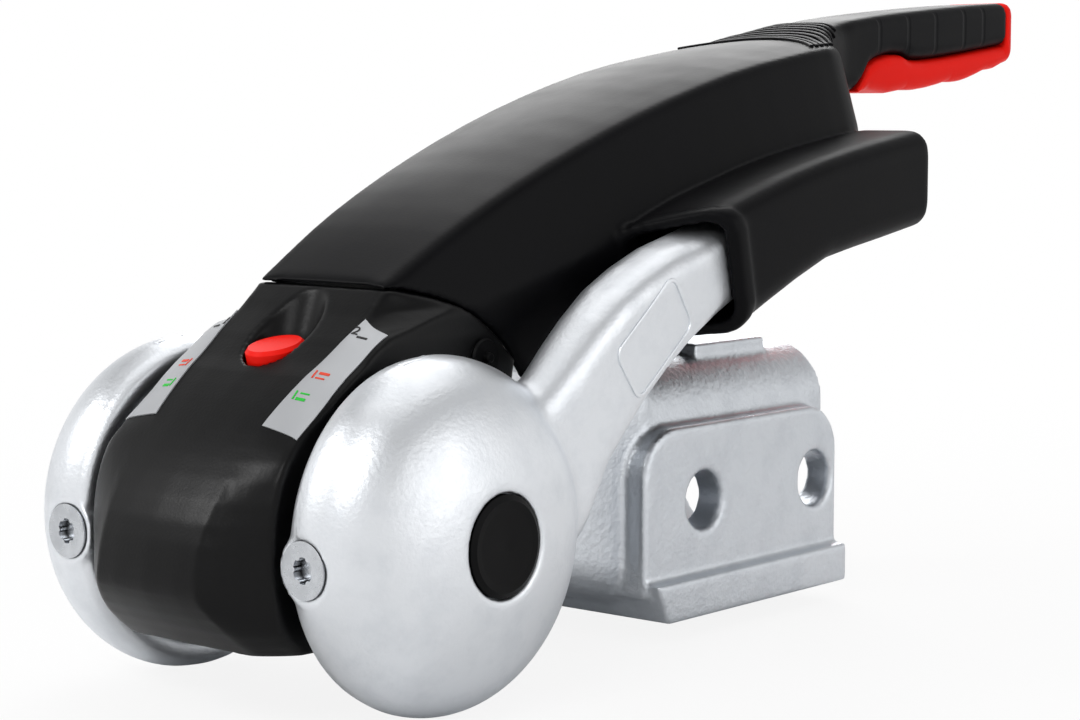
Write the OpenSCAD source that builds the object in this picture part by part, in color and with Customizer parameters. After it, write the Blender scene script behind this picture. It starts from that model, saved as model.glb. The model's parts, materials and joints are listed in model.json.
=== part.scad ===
// Friction-stabilised trailer coupling head for a towing ball.
// +X runs back along the drawbar, +Y to the right of travel, +Z up.
// The origin is the centre of the seated ball, on the axis that the stabiliser lever turns on.

/* [Towing ball] */
// Diameter of the towing ball
ball_d = 50; // [49:0.5:51]
// Gap between the ball and the cup all round
ball_gap = 0.4; // [0.3:0.1:0.5]
// Wall of the cup around the ball
cup_wall = 3.3; // [3:0.1:3.6]
// Gap between the ball and each friction pad while the lever is down
pad_gap = 0.2; // [0.15:0.05:0.3]

/* [Pivot hubs] */
// Diameter of the hub spigot that carries each lever arm
spigot_d = 34; // [32:1:35]
// Depth of each dome outside the end of its spigot
spigot_back = 12.6; // [12.2:0.1:13]
// Radial running gap of the arms, the pistons and the pivot pin
running_gap = 0.05; // [0.03:0.01:0.08]
// Diameter of the pressure pistons
piston_d = 20; // [18:1:21]
// Outward travel of the pressure pistons
pad_travel = 1.2; // [1:0.1:1.4]
// Lift of the stabiliser lever in degrees
lift_angle = 60; // [50:5:60]

/* [Domes] */
// Largest radius of the domes, at their parting ridge
dome_r = 43.3; // [42:0.1:44.5]
// Distance from the middle to the outer face of each dome
dome_reach = 66.6; // [66:0.2:68]
// Distance from the middle to the inner rim of each dome
dome_rim = 35.4; // [35:0.2:37]
// Wall of the domes
dome_wall = 4.2; // [3.5:0.1:5]
// Diameter of the plug in each dome
plug_d = 24.4; // [22:0.2:26]

/* [Rear casting] */
// Diameter of the drawbar tube that the socket takes
tube_d = 50; // [46:1:50]
// Depth of the drawbar socket
socket_len = 86; // [80:1:90]
// Distance from the ball centre to the rear end of the casting
rear_x = 186; // [184:1:196]
// Height of the socket's centre line
socket_z = -6.7; // [-8:0.1:-6]
// Distance between the two cross bolts
bolt_spacing = 54; // [50:1:58]
// Diameter of the cross bolt holes
bolt_d = 16.3; // [12.5:0.1:17]
// Half the width over the side pads
pad_half_w = 34.1; // [33:0.1:35]
// Half the width over the foot rails
foot_half_w = 38.1; // [37:0.1:40]
// Height of the foot rails' underside
foot_z = -38; // [-40:0.5:-37]
// Height of the foot rails
foot_h = 11; // [8:0.5:12]

/* [Release handle] */
// Diameter of the handle's pivot pin
pin_d = 8; // [6:0.5:8]
// Half the width of the release handle
handle_half_w = 19; // [17:0.5:20]
// Opening travel of the ball jaw
jaw_travel = 5.5; // [5:0.1:6]

/* [Stabiliser lever] */
// Wall of the lever's moulding
shell_wall = 3; // [2.5:0.1:3.4]
// Distance from the ball centre to the rear of the hood
hood_rear_x = 198; // [192:1:206]
// Distance from the ball centre to the end of the grip
grip_end_x = 323; // [300:1:340]
// Half the width of the grip
grip_half_w = 13; // [11:0.5:15]
// Half the width over the side wings
wing_half_w = 61.5; // [60:0.1:63]
// Radius of the hood's front edge about the pivot
hood_edge_r = 57.8; // [57.6:0.1:58.4]

/* [Nose] */
// Half the width of the nose cover
nose_half_w = 31.5; // [31:0.1:33]
// Diameter of the coupling indicator button
button_d = 15; // [13:0.1:16]
// Outward travel of the indicator button
button_travel = 4; // [3:0.5:4]

/* [Hidden] */
$fn = 96;

seat_gap = 0.3;
overlap = 0.01;
ball_r = ball_d / 2;
cup_r = ball_r + ball_gap;
head_r = cup_r + cup_wall;
spigot_reach = dome_reach - spigot_back;
pad_face_r = ball_r + pad_gap;
hub_r = 22;
hub_reach = dome_rim - 0.9;
skirt_z = -24;

// Smooth curves: the value at x of the curve through [x, value] pairs
function span(p, x, i = 0) = (i >= len(p) - 2 || x < p[i + 1][0]) ? i : span(p, x, i + 1);
function chord(p, i, j) = (p[j][1] - p[i][1]) / (p[j][0] - p[i][0]);
function slope(p, i) = chord(p, max(i - 1, 0), min(i + 1, len(p) - 1));
function curve(p, x) =
    let (i = span(p, x), h = p[i + 1][0] - p[i][0], t = (x - p[i][0]) / h,
         a = p[i][1], b = p[i + 1][1], da = slope(p, i) * h, db = slope(p, i + 1) * h)
    t <= 0 ? a : t >= 1 ? b :
    a * (1 + 2 * t) * (1 - t) * (1 - t) + da * t * (1 - t) * (1 - t)
    + b * t * t * (3 - 2 * t) + db * t * t * (t - 1);

// Rounded rectangle of half width w and half height h, corner radius r, n points a corner
function rounded(w, h, r, n = 4) =
    [for (q = [0:3], k = [0:n - 1])
        let (a = 90 * q + 90 * k / (n - 1), sx = (q == 0 || q == 3) ? 1 : -1, sy = q < 2 ? 1 : -1)
        [sx * (w - r) + r * cos(a), sy * (h - r) + r * sin(a)]];

// A ring across a curved limb: middle in X and Z, tilt of its height axis, middle in Y, half sizes
function limb_ring(x, z, tilt, y, w, h, r) =
    [for (p = rounded(w, h, r)) [x + p[1] * cos(tilt), y + p[0], z + p[1] * sin(tilt)]];

// Solid skin over a list of rings that have the same number of points
module skin(rings) {
    n = len(rings[0]);
    last = len(rings) - 1;
    polyhedron(
        points = [for (ring = rings) each ring],
        faces = concat(
            [[for (i = [0:n - 1]) i]],
            [for (j = [0:last - 1], i = [0:n - 1])
                each [[j * n + i, (j + 1) * n + i, j * n + (i + 1) % n],
                      [(j + 1) * n + i, (j + 1) * n + (i + 1) % n, j * n + (i + 1) % n]]],
            [[for (i = [n - 1:-1:0]) last * n + i]]));
}

// Open shell between outer and inner outlines, station by station
function quad(a, b, c, d) = [[a, b, d], [b, c, d]];
module shell_skin(outer, inner) {
    n = len(outer[0]);
    m = 2 * n;
    last = len(outer) - 1;
    polyhedron(
        points = [for (j = [0:last]) each concat(outer[j], inner[j])],
        faces = concat(
            [for (j = [0:last - 1], i = [0:n - 2])
                each concat(quad(j * m + i, (j + 1) * m + i, (j + 1) * m + i + 1, j * m + i + 1),
                            quad(j * m + n + i, j * m + n + i + 1,
                                 (j + 1) * m + n + i + 1, (j + 1) * m + n + i))],
            [for (j = [0:last - 1])
                each concat(quad(j * m, j * m + n, (j + 1) * m + n, (j + 1) * m),
                            quad(j * m + n - 1, (j + 1) * m + n - 1, (j + 1) * m + m - 1, j * m + m - 1))],
            [for (i = [0:n - 2])
                each concat(quad(i, i + 1, n + i + 1, n + i),
                            quad(last * m + i, last * m + n + i, last * m + n + i + 1, last * m + i + 1))]));
}

// Cylinder along Y between two distances from the middle, on one side
module hub_cylinder(side, r, y0, y1) {
    rotate([side > 0 ? -90 : 90, 0, 0]) translate([0, 0, y0]) cylinder(r = r, h = y1 - y0);
}

// Revolved body about the pivot axis, its profile in [radius, distance from the middle]
module hub_revolve(side, profile) {
    rotate([side > 0 ? -90 : 90, 0, 0]) rotate_extrude() polygon(profile);
}

module along_x(x0, x1, r, y = 0, z = 0) {
    translate([x0, y, z]) rotate([0, 90, 0]) cylinder(r = r, h = x1 - x0);
}

module block(x0, x1, half_y, z0, z1) {
    translate([x0, -half_y, z0]) cube([x1 - x0, 2 * half_y, z1 - z0]);
}

// Extrudes an XZ outline across the middle plane
module slab(half_y) {
    rotate([90, 0, 0]) translate([0, 0, -half_y]) linear_extrude(height = 2 * half_y) children();
}

// Handle pivot, jaw and friction pads
pin_x = 31;
pin_z = 39.5;
ear_r = 7.3;
ear_in = 16.5;
ear_out = 24.5;
jaw_half_w = 15;
slot_half_w = jaw_half_w + seat_gap;
slot_rear = 52;
side_pad_r = piston_d / 2 + 3;
side_pad_back = 29;
piston_r = piston_d / 2;
front_pad_r = 9;
front_boss_r = 12.5;
front_boss_x = -36;
front_pad_back = -33;

// Casting
socket_front = rear_x - socket_len;
bolt_mid_x = socket_front + 46.9;
body_half_w = 28.5;
body_top = 31.8;
foot_top = foot_z + foot_h;
indicator_tilt = -13.6;
button_r = button_d / 2;
stem_r = 3;

module turned_to_indicator() {
    rotate([0, indicator_tilt, 0]) children();
}

// Neck between the cup and the socket, then the socket block with its rounded top
function casting_ring(x, w, z0, z1, r) = limb_ring(x, (z0 + z1) / 2, 90, 0, w, (z1 - z0) / 2, r);

module neck() {
    skin([casting_ring(12, 23, -24, 24, 5),
          casting_ring(56, 23, -24, 25, 6),
          casting_ring(74, 24, -26, 26, 7),
          casting_ring(socket_front - 10, 26.5, -31, 28, 8),
          casting_ring(socket_front + 2, body_half_w, foot_z + 1, body_top, 10)]);
}

module socket_block() {
    top_r = 17;
    translate([socket_front, 0, 0]) rotate([90, 0, 90]) linear_extrude(height = socket_len - 0.5) union() {
        translate([-body_half_w, foot_z + 1])
            square([2 * body_half_w, body_top - top_r - foot_z - 1]);
        for (side = [-1, 1])
            translate([side * (body_half_w - top_r), body_top - top_r]) circle(r = top_r);
        translate([-body_half_w + top_r, body_top - top_r - 1])
            square([2 * (body_half_w - top_r), top_r + 1]);
    }
}

// Raised pads round the cross bolts, with rounded upper corners
pad_top = 14.6;
pad_corner = 14;
module side_face() {
    rotate([90, 0, 0]) translate([0, 0, -pad_half_w]) linear_extrude(height = 2 * pad_half_w) pad_outline();
}

module pad_outline() {
    front = socket_front - 7.5;
    rear = rear_x - 0.8;
    difference() {
        translate([front, foot_top - 4]) square([rear - front, pad_top - foot_top + 4]);
        for (s = [[front, 1], [rear, -1]])
            difference() {
                translate([s[0] - pad_corner, pad_top - pad_corner])
                    square([2 * pad_corner, pad_corner + 1]);
                translate([s[0] + s[1] * pad_corner, pad_top - pad_corner]) circle(r = pad_corner);
                translate([s[0] + (s[1] > 0 ? pad_corner : -3 * pad_corner), pad_top - pad_corner - 1])
                    square([2 * pad_corner, pad_corner + 3]);
            }
    }
}

module foot_rails() {
    front = socket_front - 3;
    slab(foot_half_w) polygon([[front - 3.5, foot_top], [front + 1.5, foot_z], [rear_x - 1, foot_z],
                               [rear_x - 1, foot_top]]);
}

// Raised pad on top of the socket block
module top_pad() {
    translate([socket_front + 35, -19, body_top - 2]) cube([34, 38, 4.8]);
}

module casting() {
    color("#A9AAAF") difference() {
        union() {
            sphere(r = head_r);
            translate([0, 0, skirt_z]) cylinder(r = head_r, h = -skirt_z);
            along_x(front_boss_x, -ball_r, front_boss_r);
            for (side = [-1, 1]) {
                hub_cylinder(side, hub_r, 15, hub_reach);
                hub_cylinder(side, spigot_d / 2, 15, spigot_reach);
            }
            neck();
            socket_block();
            side_face();
            foot_rails();
            top_pad();
            ears();
        }
        translate([0, 0, 0]) sphere(r = cup_r);
        translate([0, 0, foot_z - 5]) cylinder(r = cup_r, h = 5 - foot_z);
        block(14, slot_rear, slot_half_w, foot_z - 5, 60);
        for (side = [-1, 1]) {
            hub_cylinder(side, side_pad_r + 0.2, 10, side_pad_back + pad_travel + seat_gap);
            hub_cylinder(side, piston_r + running_gap, 10, spigot_reach + 1);
            hub_revolve(side, [[spigot_d / 2 - 1.2, ring_y], [spigot_d / 2 + 1, ring_y],
                               [spigot_d / 2 + 1, ring_y + ring_t + 0.2], [spigot_d / 2 - 1.2, ring_y + ring_t + 0.2]]);
        }
        along_x(front_pad_back - 0.2, -10, front_pad_r + 0.2);
        along_x(socket_front, rear_x + 5, tube_d / 2, 0, socket_z);
        for (k = [-1, 1])
            translate([bolt_mid_x + k * bolt_spacing / 2, 0, socket_z])
                hub_cylinder(1, bolt_d / 2, -50, 50);
        translate([pin_x, 0, pin_z]) hub_cylinder(1, pin_d / 2 + running_gap, -40, 40);
        turned_to_indicator() cylinder(r = stem_r + running_gap, h = 40);
        along_x(slot_rear - 1, slot_rear + 4, spring_r + 0.6, 0, spring_z);
    }
}

// The casting is kept in two halves that meet on a flat section through its neck
casting_split_x = slot_rear + 8;
module housing_cup() {
    intersection() {
        casting();
        block(-100, casting_split_x, 100, -100, 100);
    }
}

module housing_socket() {
    intersection() {
        casting();
        block(casting_split_x, rear_x + 10, 100, -100, 100);
    }
}

module ears() {
    for (side = [-1, 1])
        translate([0, side * (ear_in + ear_out) / 2, 0]) slab((ear_out - ear_in) / 2) {
            translate([pin_x, pin_z]) circle(r = ear_r);
            polygon([[pin_x - 11, 15], [pin_x - ear_r + 0.3, pin_z + 2], [pin_x + ear_r - 0.2, pin_z + 1.5],
                     [54, 15]]);
        }
}

// Nose cover: rubber moulding over the cup, in level sections
// Each section: height, front half width, front X, side half width, X where the side begins, rear X
nose_top_r = hood_edge_r - 0.6;
nose_rear_x = 42;
nose_front = [[-26, -38], [-20, -45.5], [-14, -51], [-9.4, -53], [2, -51], [13, -45], [27, -33], [37.3, -20.7],
              [43.7, -10.7], [50.5, -1.4], [53.5, 1.9], [56.6, 5.5]];
nose_front_w = [[-26, 22], [-20, 21], [-9.4, 17.4], [13, 17.4], [27, 18.6], [39, 21.4], [50.5, 22], [56.6, 21.6]];
nose_side = [[-26, -30], [-20, -38], [-9.4, -41.2], [2, -42], [12, -40.8], [20, -37.5], [25.2, -32.4], [31, -24],
             [37, -16.2], [41.6, -9.4], [46.4, -1], [48.1, 7], [50.6, 16.2], [51.8, 21.4], [53, 20], [55, 14],
             [56.6, 7]];
nose_heights = [-26, -23, -19.5, -16, -13, -10.6, -9.4, -8, -4, 1, 6, 11, 16, 20, 23, 26, 29, 32, 35, 38, 41, 44,
                46.4, 48.1, 49.5, 50.6, 51.8, 53, 54.8, 56.6];
nose_side_w = [[-26, nose_half_w - 2], [-20, nose_half_w - 0.4], [20, nose_half_w], [25, nose_half_w - 0.9],
               [37, nose_half_w], [46.4, nose_half_w - 1.2], [50.6, nose_half_w - 1.5], [51.8, nose_half_w - 1.9],
               [53, nose_half_w - 3.5], [55, 25], [56.6, 22.4]];

function nose_rear(z) = z < 37 ? nose_rear_x : sqrt(nose_top_r * nose_top_r - z * z);
// Point of the slightly crowned band between the front face and the side, t from one to the other
band_steps = 4;
band_crown = 0.5;
function band_point(z, t) =
    let (f = curve(nose_front, z), wf = curve(nose_front_w, z), s = curve(nose_side, z),
         w = curve(nose_side_w, z), c = band_crown * sin(180 * t))
    [f + (s - f) * t - c * 0.7, wf + (w - wf) * t + c * 0.7, z];
function nose_ring(z) =
    let (f = curve(nose_front, z), wf = curve(nose_front_w, z), s = curve(nose_side, z),
         w = curve(nose_side_w, z), r = nose_rear(z),
         band = [for (k = [0:band_steps]) band_point(z, k / band_steps)])
    [[f - 0.8, 0, z], [f - 0.5, -wf * 0.6, z], for (p = band) [p[0], -p[1], z],
     [max(s + 0.5, (s + r) / 2), -w, z], [r, -w, z], [r, -wf, z], [r, 0, z], [r, wf, z], [r, w, z],
     [max(s + 0.5, (s + r) / 2), w, z], for (k = [band_steps:-1:0]) [band[k][0], band[k][1], z],
     [f - 0.5, wf * 0.6, z]];

// Recess round the button: a cone that opens backwards
recess_floor_r = button_r + 0.6;
recess_low_r = recess_floor_r + 0.2;
recess_x = -9.9;
recess_z = 41;
recess_tilt = 10;
recess_growth = 0.19;
recess_h = 20;
button_seat = 38;
button_top = 45.8;
cover_gap = 0.3;

module nose_cover() {
    color("#1B1B1D") difference() {
        skin([for (z = nose_heights) nose_ring(z)]);
        sphere(r = head_r + cover_gap);
        translate([0, 0, -40]) cylinder(r = head_r + cover_gap, h = 40);
        along_x(front_boss_x - cover_gap, 0, front_boss_r + cover_gap);
        for (side = [-1, 1]) hub_cylinder(side, hub_r + cover_gap, 10, 50);
        block(0, 60, ear_out + cover_gap, -40, 33);
        block(pin_x - ear_r - 4, 60, ear_out + cover_gap, 20, 60);
        translate([pin_x, 0, pin_z]) hub_cylinder(1, pin_d / 2 + 0.1, -40, 40);
        turned_to_indicator() {
            translate([0, 0, button_seat]) cylinder(r = recess_floor_r, h = 30);
            cylinder(r = spring_out_r + 0.5, h = 45);
        }
        translate([recess_x, 0, recess_z]) rotate([0, recess_tilt, 0])
            cylinder(r1 = recess_low_r, r2 = recess_low_r + recess_h * recess_growth, h = recess_h);
    }
}

// Wear scale plates, laid on the slanted band between the nose's creases
scale_heights = [26.4, 29, 32, 35, 38, 41, 44, 46.6];
scale_mid_z = 36.5;
scale_skew = 0.1;
scale_normal = [-0.55, 0.25, 0.8];
scale_ts = [0.03, 0.27, 0.5, 0.73, 0.95];
scale_low = 0.3;
scale_high = 0.7;
function scale_point(z, t) = band_point(z + (z - scale_mid_z) * scale_skew * (1 - t), t);
function scale_ring(z) =
    concat([for (t = scale_ts) scale_point(z, t) + scale_normal * scale_high],
           [for (k = [len(scale_ts) - 1:-1:0]) scale_point(z, scale_ts[k]) + scale_normal * scale_low]);

module wear_scale() {
    color("#B8BABF") skin([for (z = scale_heights) scale_ring(z)]);
}

module front_friction_pad() {
    color("#3B3A38") difference() {
        along_x(front_pad_back, -14, front_pad_r);
        sphere(r = pad_face_r);
    }
}

module side_pad(side) {
    color("#3B3A38") difference() {
        hub_cylinder(side, side_pad_r, 14, side_pad_back);
        sphere(r = pad_face_r);
    }
}

// Pistons with a helical face cam that meets the cam disc's one
cam_in = 6;
cam_out = 14;
cam_base = pad_travel + 0.15;
cam_span = 112;
cam_rise = pad_travel * cam_span / lift_angle;
head_plate_y = spigot_reach + 0.5;
head_plate_t = 1.4;
cam_gap = 0.25;
disc_y = head_plate_y + head_plate_t + 2 * cam_base + cam_rise + cam_gap;

// One lobe of a face cam: a helical ramp that climbs away from z = 0
module cam_lobe(start, from_h, to_h) {
    steps = 10;
    skin([for (k = [0:steps])
        let (a = start + cam_span * k / steps, h = from_h + (to_h - from_h) * k / steps)
        [[cam_in * cos(a), cam_in * sin(a), -0.5], [cam_in * cos(a), cam_in * sin(a), h],
         [cam_out * cos(a), cam_out * sin(a), h], [cam_out * cos(a), cam_out * sin(a), -0.5]]]);
}

module pad_piston() {
    color("#8E9095") rotate([-90, 0, 0]) {
        translate([0, 0, side_pad_back + 0.05]) cylinder(r = piston_r, h = head_plate_y - side_pad_back);
        translate([0, 0, head_plate_y]) cylinder(r = cam_out + 0.5, h = head_plate_t);
        translate([0, 0, head_plate_y + head_plate_t])
            for (k = [0, 1]) cam_lobe(180 * k, cam_base, cam_base + cam_rise);
    }
}

module cam_disc() {
    color("#8E9095") rotate([-90, 0, 0]) {
        translate([0, 0, disc_y]) cylinder(r = cam_out + 1, h = dome_seat_y - disc_y - 0.05);
        translate([0, 0, disc_y]) mirror([0, 0, 1])
            for (k = [0, 1]) cam_lobe(180 * k, cam_base + cam_rise, cam_base);
    }
}

// Retaining rings that keep the arms on the spigots
ring_t = 1.6;
ring_y = spigot_reach - 2.6;
boss_out = ring_y - 0.3;
module hub_ring(side) {
    r0 = spigot_d / 2 - 1.1;
    r1 = spigot_d / 2 + 3;
    y0 = ring_y + 0.1;
    color("#77797E") hub_revolve(side, [[r0, y0], [r1, y0], [r1, y0 + ring_t], [r0, y0 + ring_t]]);
}

// Domes: a flattened bulge outside the parting ridge and a short rim inside it
ridge_y = 42;
bulge_power = 2.25;
dome_seat_y = dome_reach - 3.4;
function bulge_y(r, big_r, reach) =
    ridge_y + (reach - ridge_y) * pow(1 - pow(r / big_r, bulge_power), 1 / bulge_power);
function bulge(big_r, reach, r_in, steps) =
    [for (k = [0:steps]) let (a = 90 * k / steps, r = big_r - (big_r - r_in) * (1 - cos(a)))
        [k == 0 ? big_r : r, k == 0 ? ridge_y : bulge_y(r, big_r, reach)]];

module dome_solid(side) {
    plug_edge = plug_d / 2 + 1.8;
    hub_revolve(side, concat(
        [[0, dome_rim], [dome_r - 3, dome_rim], [dome_r - 1, dome_rim + 2.2]],
        bulge(dome_r, dome_reach, plug_edge, 14),
        [[plug_d / 2, dome_reach - 1.1], [0, dome_reach - 1.1]]));
}

module dome_hollow(side) {
    hub_revolve(side, concat(
        [[0, dome_rim - 1], [dome_r - 3 - dome_wall, dome_rim - 1], [dome_r - dome_wall - 0.9, dome_rim + 3]],
        bulge(dome_r - dome_wall, dome_seat_y, 17, 10),
        [[cam_out + 1.3, dome_seat_y], [0, dome_seat_y]]));
}

// Arm limb: points along its upper and lower edges, from the dome to its end inside the wing
arm_stations = [
    // upper X, upper Z, lower X, lower Z, inner Y, outer Y, corner radius
    [10, 32, 34, -12, 45, 55, 4],
    [24, 34.5, 43, -2, 43.6, 57.4, 6],
    [33.5, 43, 49.5, 11.5, 43, 58.5, 6.5],
    [43, 51.2, 55.5, 18.8, 43, 59, 6.5],
    [52, 57.4, 62, 26, 43, 59.3, 6],
    [62, 62.4, 71, 33.4, 43, 59.5, 6],
    [73, 66.6, 82, 40.8, 43, 59.5, 6],
    [84, 68.9, 93, 47.2, 43, 59.5, 5],
    [97, 72, 104, 51.5, 43, 58, 4],
    [124, 78.5, 127, 60, 44, 57.3, 4]];

// The arm's top face sheds outwards by arm_shed
arm_shed = 2.6;
function arm_ring(s, side) =
    let (dx = s[0] - s[2], dz = s[1] - s[3], h = norm([dx, dz]) / 2, w = (s[5] - s[4]) / 2, t = atan2(dz, dx))
    [for (p = rounded(w, h, s[6], 5))
        let (v = p[1] - arm_shed * (0.5 + p[1] / h / 2) * (0.5 + side * p[0] / w / 2))
        [(s[0] + s[2]) / 2 + v * cos(t), side * (s[4] + s[5]) / 2 + p[0], (s[1] + s[3]) / 2 + v * sin(t)]];

screw_x = -42.3;
screw_y = 41.5;
screw_z = -2.6;
screw_head_r = 6.8;

module arm(side) {
    color("#D5D8DC") difference() {
        union() {
            difference() {
                dome_solid(side);
                dome_hollow(side);
            }
            hub_cylinder(side, spigot_d / 2 + 4, dome_rim, boss_out);
            arm_web(side);
            difference() {
                skin([for (s = arm_stations) arm_ring(s, side)]);
                hub_cylinder(side, dome_r - dome_wall, dome_rim - 5, spigot_reach + 2);
            }
            intersection() {
                along_x(screw_x - 6, -26, screw_head_r + 2.4, side * screw_y, screw_z);
                dome_solid(side);
            }
            along_x(screw_x + 0.3, -27, screw_head_r + 1.5, side * screw_y, screw_z);
        }
        hub_cylinder(side, spigot_d / 2 + running_gap, 20, boss_out + 1);
        hub_cylinder(side, plug_d / 2 + 0.1, dome_seat_y - 1, dome_reach + 2);
        at_shell_screws() hub_cylinder(side, 3.1, 40, shell_screw_end_y);
        along_x(-60, screw_x + 0.4, screw_head_r + 0.3, side * screw_y, screw_z);
        translate([screw_x + 0.4 - overlap, side * screw_y, screw_z]) rotate([0, 90, 0])
            cylinder(r1 = screw_head_r + 0.3, r2 = 3.1, h = 3.4);
        along_x(screw_x, -22, 3.1, side * screw_y, screw_z);
    }
}

// Flange web that ties the hub boss to the dome wall
module arm_web(side) {
    difference() {
        hub_cylinder(side, dome_r - 2, dome_rim + 1, dome_rim + 5);
        hub_cylinder(side, spigot_d / 2 + 2, dome_rim, dome_rim + 6);
    }
}

module dome_screw(side) {
    color("#C9CBCF") difference() {
        union() {
            translate([screw_x, side * screw_y, screw_z]) rotate([0, 90, 0]) {
                cylinder(r = screw_head_r, h = 0.4);
                translate([0, 0, 0.4]) cylinder(r1 = screw_head_r, r2 = 3, h = 3.2);
                cylinder(r = 3, h = 16);
            }
        }
        translate([screw_x - 1, side * screw_y, screw_z]) rotate([0, 90, 0]) torx(3.1, 3.4);
    }
}

// Six-lobed drive recess
module torx(r, depth) {
    difference() {
        cylinder(r = r, h = depth, $fn = 48);
        for (k = [0:5]) rotate([0, 0, 60 * k + 30]) translate([r + 0.25, 0, -1])
            cylinder(r = 0.75, h = depth + 2, $fn = 24);
    }
}

module plug(side) {
    r = plug_d / 2;
    color("#1E1E20") hub_revolve(side, [[0, dome_seat_y + 0.05], [r - 0.6, dome_seat_y + 0.05],
        [r, dome_seat_y + 0.6], [r, dome_reach - 1.2], [r - 1.4, dome_reach - 0.5], [r - 3.2, dome_reach - 0.7],
        [0, dome_reach - 1.1]]);
}

// Ball jaw with a fork that the release handle's finger moves
finger_reach = 10.5;
finger_r = 4;
fork_z = 30.4;
jaw_rear = 38;
spring_r = 5.2;
spring_z = 4;
module ball_jaw() {
    slot_w = finger_r + seat_gap;
    floor_z = pin_z - finger_reach - finger_r - 0.5;
    color("#9A9CA1") difference() {
        slab(jaw_half_w) polygon([[15, -19], [19, -22], [30, -22], [jaw_rear, -14], [jaw_rear, 26],
            [jaw_rear - 1.5, fork_z], [pin_x + slot_w, fork_z], [pin_x + slot_w, floor_z],
            [pin_x - slot_w, floor_z], [pin_x - slot_w, fork_z - 4], [pin_x - slot_w - 3, fork_z - 4],
            [15, 20]]);
        sphere(r = ball_r + 0.3);
        along_x(10, 32, rear_pad_r + 0.1, 0, rear_pad_z);
    }
}

rear_pad_r = 9;
rear_pad_z = 0;
module rear_friction_pad() {
    color("#3B3A38") difference() {
        along_x(14, 31.9, rear_pad_r, 0, rear_pad_z);
        sphere(r = pad_face_r);
    }
}

// Round wire coil along Z: rings of the wire swept along the helix
module coil(r, wire, h, turns, sides = 6, per_turn = 12) {
    steps = turns * per_turn;
    skin([for (k = [0:steps])
        let (a = 360 * k / per_turn, z = wire + (h - 2 * wire) * k / steps)
        [for (s = [0:sides - 1]) let (b = -360 * s / sides)
            [(r + wire * cos(b)) * cos(a), (r + wire * cos(b)) * sin(a), z + wire * sin(b)]]]);
}

module jaw_spring() {
    color("#7F8187") translate([jaw_rear + 0.1, 0, spring_z]) rotate([0, 90, 0])
        coil(spring_r - 0.8, 0.8, slot_rear + 3.9 - jaw_rear - 0.1, 5);
}

module pin_part(r, y0, y1) {
    translate([pin_x, 0, pin_z]) hub_cylinder(1, r, y0, y1);
}

clip_y = nose_half_w + 0.1;
module handle_pivot_pin() {
    color("#B9BBC0") pin_part(pin_d / 2, -clip_y + 0.05, clip_y - 0.05);
}

// Cap with a small post on each end of the pin
module pivot_clip(side) {
    color("#2A2A2C") translate([pin_x, 0, pin_z])
        hub_revolve(side, [[0, clip_y], [4.8, clip_y], [4.4, clip_y + 0.6], [1.5, clip_y + 0.6], [1.3, clip_y + 1.8],
                           [0.9, clip_y + 2.1], [0, clip_y + 2.1]]);
}

// Release handle: a steel core on the pivot pin under a moulded cover
handle_front_x = 44;
handle_rear_x = 172;
handle_top = [[44, 58], [62, 70], [90, 84], [125, 95], [150, 99.5], [172, 101]];
handle_low = [[44, 45], [62, 54], [90, 65], [125, 75], [150, 79.5], [172, 82]];
handle_xs = [handle_front_x, 52, 62, 76, 90, 108, 125, 140, 156, handle_rear_x];
handle_w = [[44, handle_half_w - 3], [62, handle_half_w - 1], [90, handle_half_w], [172, handle_half_w]];
cover_wall = 2.6;
function handle_ring(x, inset) =
    let (z0 = curve(handle_low, x) - (inset > 0 ? 6 : 0), z1 = curve(handle_top, x) - inset,
         w = curve(handle_w, x) - inset)
    limb_ring(x, (z0 + z1) / 2, 90, 0, w, (z1 - z0) / 2, max(4.5 - inset, 1.5));

module release_handle() {
    color("#202022") difference() {
        skin([for (x = handle_xs) handle_ring(x, 0)]);
        skin([for (x = handle_xs)
            handle_ring(x == handle_front_x ? x - 2 : x == handle_rear_x ? x - 3.5 : x, cover_wall)]);
    }
}

core_half_w = 12;
module handle_core() {
    color("#85878C") difference() {
        union() {
            slab(ear_in - seat_gap) {
                translate([pin_x, pin_z]) circle(r = 8);
            }
            slab(core_half_w) polygon([[pin_x - 2, pin_z + 7], [42, 52], [62, 64], [90, 78.6], [118, 88],
                [118, 83], [90, 72.6], [62, 58], [46, 47.5], [pin_x + 7, pin_z - 3]]);
            slab(8) {
                translate([pin_x, pin_z - finger_reach]) circle(r = finger_r);
                translate([pin_x - finger_r, pin_z - finger_reach]) square([2 * finger_r, finger_reach]);
            }
        }
        pin_part(pin_d / 2 + running_gap, -40, 40);
        for (x = rivet_xs) translate([x, 0, 40]) cylinder(r = 2.55, h = 60);
    }
}

rivet_xs = [70, 104];
core_low = [[46, 47.5], [62, 58], [90, 72.6], [118, 83]];
module handle_rivets() {
    color("#B4B6BA") for (x = rivet_xs) {
        z = curve(core_low, x) - 2.9;
        translate([x, 0, z]) cylinder(r = 2.5, h = curve(handle_top, x) - cover_wall - z - 1.8);
        translate([x, 0, z - 1.5]) cylinder(r = 4.5, h = 1.5);
    }
}

// Stabiliser lever moulding: hood
crease_z = [[4.4, 57.8], [32, 73.2], [64, 87.4], [100, 100.2], [140, 111], [175, 117], [198, 119.6]];
crease_w = [[4.4, 22.4], [32, 25], [64, 27], [100, 28.5], [140, 29.3], [184, 29.4], [190, 28.7], [194, 27.2],
            [196.6, 25], [198, 21.5]];
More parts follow.
